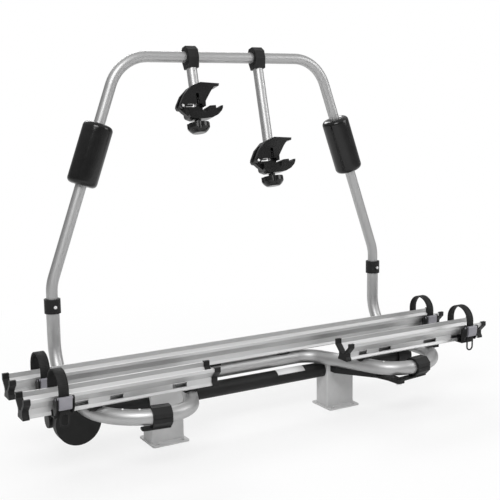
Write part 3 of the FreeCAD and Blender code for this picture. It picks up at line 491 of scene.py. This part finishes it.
def stadium(half, low, high):
    """Points of an upright slot shape with round ends, from its low to its high end."""
    points = []
    for start, middle in ((0, high - half), (math.pi, low + half)):
        for step in range(TAIL_STEPS + 1):
            angle = start + math.pi * step / TAIL_STEPS
            points.append((half * math.cos(angle), middle + half * math.sin(angle)))
    return points


def strap_path(radius, crest, start, foot):
    """The loop's middle line from start over the crest to foot: y, z and outward y, z."""
    pace = STRAP_RIB / STRAP_RIB_STEPS
    path = []
    straight = crest - start
    count = max(2, int(straight / pace))
    for step in range(count):
        path.append((-radius, start + straight * step / count, -1.0, 0.0))
    count = int(math.pi * radius / pace)
    for step in range(count + 1):
        angle = math.pi - math.pi * step / count
        path.append((radius * math.cos(angle), crest + radius * math.sin(angle),
                     math.cos(angle), math.sin(angle)))
    straight = crest - foot
    count = int(straight / pace)
    for step in range(1, count + 1):
        path.append((radius, crest - straight * step / count, 1.0, 0.0))
    return path


def strap_section(half, outside):
    """Section with cut corners, as (across, outward) points; half is half its width."""
    inside = STRAP_THICK / 2
    edge = STRAP_EDGE
    return ((-half, -inside + edge), (-half + edge, -inside),
            (half - edge, -inside), (half, -inside + edge),
            (half, outside - edge), (half - edge, outside),
            (-half + edge, outside), (-half, outside - edge))


def strap(name, material):
    """Ribbed rubber loop over the wheel, from the shoe's back plate to the slotted tail."""
    low, high = box_corners(name + "_band")
    middle_x = (low.x + high.x) / 2
    middle_y = (low.y + high.y) / 2
    half = (high.x - low.x) / 2
    radius = (high.y - low.y) / 2 - STRAP_THICK / 2
    crest = high.z - (high.y - low.y) / 2
    start = low.z + TAIL_LONG * TAIL_BELOW_LOOP
    foot = box_corners(name + "_shoe")[0].z + STRAP_BACK_UP
    rings = []
    run = 0.0
    path = strap_path(radius, crest, start, foot)
    last_y, last_z = path[0][:2]
    for y, z, out_y, out_z in path:
        run += math.hypot(y - last_y, z - last_z)
        last_y, last_z = y, z
        on_rib = (run / STRAP_RIB) % 1.0 < STRAP_RIB_SHARE
        outside = STRAP_THICK / 2 - (0.0 if on_rib else STRAP_RIB_TALL)
        rings.append([Vector((middle_x + across, middle_y + y + out_y * lift,
                              z + out_z * lift))
                      for across, lift in strap_section(half, outside)])
    loop = add_object(name + "_loop", loft_mesh(name + "_loop", rings), material, name)
    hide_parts(name + "_band")
    slot = stadium(half - TAIL_RIM, TAIL_RIM, TAIL_LONG - 2 * TAIL_RIM)
    plate = slotted_plate(name + "_tail", stadium(half, 0, TAIL_LONG), slot, TAIL_THICK,
                          Vector((middle_x, middle_y - radius, low.z)))
    tail = add_object(name + "_tail", plate, material, name)
    soften(tail, TAIL_EDGE_WIDE)


def pad_end(radius):
    """Profile of a pad's end from the bore outward: (distance in from the end, radius)."""
    profile = [(PAD_MOUTH_DEEP, PAD_BORE), (PAD_LIP_DEEP, PAD_BORE + PAD_MOUTH_WIDE)]
    for step in range(PAD_ROUND_STEPS + 1):
        angle = math.pi / 2 * step / PAD_ROUND_STEPS
        profile.append((PAD_END_ROUND * (1 - math.cos(angle)),
                        radius - PAD_END_ROUND + PAD_END_ROUND * math.sin(angle)))
    return profile


def bow_pad(name, material):
    """Round foam sleeve on a leaning leg, with rounded ends that dip in round the tube."""
    low, high = box_corners(name)
    side = 1 if low.x > 0 else -1
    radius = (high.y - low.y) / 2
    up = Vector((-side * math.sin(LEG_LEAN), 0, math.cos(LEG_LEAN)))
    solid_long = ((high.z - low.z) - 2 * radius * math.sin(LEG_LEAN)) / math.cos(LEG_LEAN)
    base = (low + high) / 2 - up * solid_long / 2
    long = solid_long + PAD_TOP_MORE
    end = pad_end(radius)
    outline = list(end)
    for step in range(1, PAD_SIDE_STEPS):
        share = step / PAD_SIDE_STEPS
        outline.append((PAD_END_ROUND + (long - 2 * PAD_END_ROUND) * share, radius))
    outline += [(long - inward, wide) for inward, wide in reversed(end)]
    foam = add_object(name + "_foam", turned_mesh(name + "_foam", outline, base, up), material,
                      "bow")
    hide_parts(name)


def tube_screws(material):
    """Two screws on the left loop's outer front corner, and one on the right loop's root."""
    places = [CORNER_MIDDLE - Vector((math.cos(angle), math.sin(angle), 0)) * CORNER_RADIUS
              for angle in CORNER_SCREWS]
    places.append(RUN_SCREW)
    outline = [(SCREW_TALL * along, SCREW_RADIUS * out) for along, out in SCREW_OUTLINE]
    up = Vector((0, 0, 1))
    for number, place in enumerate(places, start=1):
        name = "tube_screw_%d" % number
        seat = place + up * (TUBE_RADIUS - SCREW_SUNK)
        mesh = turned_mesh(name, outline, seat, up, SCREW_STEPS)
        add_object(name, mesh, material, "platform")


def bar_plate(material):
    """Bare plate bent round the upper front of the hinge bar."""
    low, high = box_corners("hinge_bar")
    middle = (low + high) / 2
    radius = (high.z - low.z) / 2
    angles = [PLATE_LOW + (PLATE_HIGH - PLATE_LOW) * step / PLATE_STEPS
              for step in range(PLATE_STEPS + 1)]
    section = [(angle, radius + PLATE_THICK) for angle in angles]
    section += [(angle, radius) for angle in reversed(angles)]
    rings = [[Vector((x, middle.y - reach * math.cos(angle), middle.z + reach * math.sin(angle)))
              for angle, reach in section]
             for x in (PLATE_LEFT, PLATE_RIGHT)]
    add_object("bar_plate", loft_mesh("bar_plate", rings), material, "drawbar_mount")


add_camera()
finishes = make_materials()
dress_frame(finishes)
for strap_name in ("back_left_strap", "back_right_strap", "near_left_strap",
                   "near_right_strap"):
    strap(strap_name, finishes["strap_rubber"])
for pad_name in ("left_bow_pad", "right_bow_pad"):
    bow_pad(pad_name, finishes["gloss_black"])
bar_plate(finishes["plate_white"])
tube_screws(finishes["zinc_steel"])
add_world()
add_floor()
for lamp_values in LAMPS:
    add_lamp(*lamp_values)

bpy.context.scene.view_settings.view_transform = "Standard"
